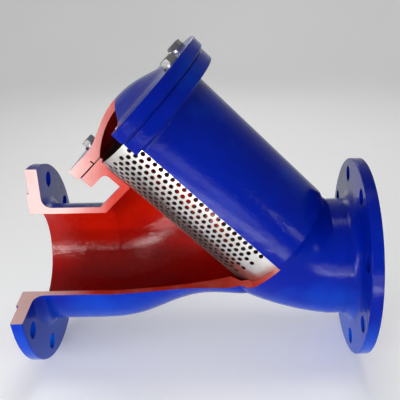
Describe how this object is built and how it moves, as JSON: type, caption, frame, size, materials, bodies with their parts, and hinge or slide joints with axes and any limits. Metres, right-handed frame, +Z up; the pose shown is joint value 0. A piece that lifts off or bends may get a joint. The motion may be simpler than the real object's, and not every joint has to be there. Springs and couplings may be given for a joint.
{
  "type": "pipe strainer",
  "caption": "Flanged Y strainer cut open to show its perforated screen, with a bolted domed cover on a slanted branch.",
  "frame": {"origin": "centre of the inlet flange's bolt circle, on the face behind its raised ring", "axes": "+X out of the inlet along the run, +Z up on the branch's side of the run, -Y towards the cutaway"},
  "size_m": [0.48, 0.285, 0.4582],
  "materials": {
    "body_paint": "glossy deep blue enamel on ductile iron, red on cut faces and inside",
    "cover_paint": "glossy deep blue enamel, red on cut faces and inside",
    "gasket_sheet": "dark fibre sheet",
    "screen_steel": "rolled perforated stainless sheet",
    "bolt_zinc": "dull zinc plate"
  },
  "bodies": {
    "strainer_body": {"body_casting": "body_paint", "cover_gasket": "gasket_sheet"},
    "cover": {"cover": "cover_paint"},
    "screen": {"screen": "screen_steel"},
    "bolt_1": {"cover_bolt_1": "bolt_zinc", "washer_1": "bolt_zinc"},
    "bolt_2": {"cover_bolt_2": "bolt_zinc", "washer_2": "bolt_zinc"},
    "bolt_3": {"cover_bolt_3": "bolt_zinc", "washer_3": "bolt_zinc"},
    "bolt_4": {"cover_bolt_4": "bolt_zinc", "washer_4": "bolt_zinc"}
  },
  "joints": [
    {"name": "cover_lift", "type": "slide", "parent": "strainer_body", "child": "cover", "axis": [-0.7071, 0, 0.7071], "range_m": [0, 0.34]},
    {"name": "screen_draw", "type": "slide", "parent": "strainer_body", "child": "screen", "axis": [-0.7071, 0, 0.7071], "range_m": [0, 0.29]},
    {"name": "bolt_1_out", "type": "slide", "parent": "cover", "child": "bolt_1", "axis": [-0.7071, 0, 0.7071], "range_m": [0, 0.06]},
    {"name": "bolt_2_out", "type": "slide", "parent": "cover", "child": "bolt_2", "axis": [-0.7071, 0, 0.7071], "range_m": [0, 0.06]},
    {"name": "bolt_3_out", "type": "slide", "parent": "cover", "child": "bolt_3", "axis": [-0.7071, 0, 0.7071], "range_m": [0, 0.06]},
    {"name": "bolt_4_out", "type": "slide", "parent": "cover", "child": "bolt_4", "axis": [-0.7071, 0, 0.7071], "range_m": [0, 0.06]}
  ],
  "couplings": [
    {"joint": "screen_draw", "follows": "cover_lift", "ratio": 0.85}
  ]
}
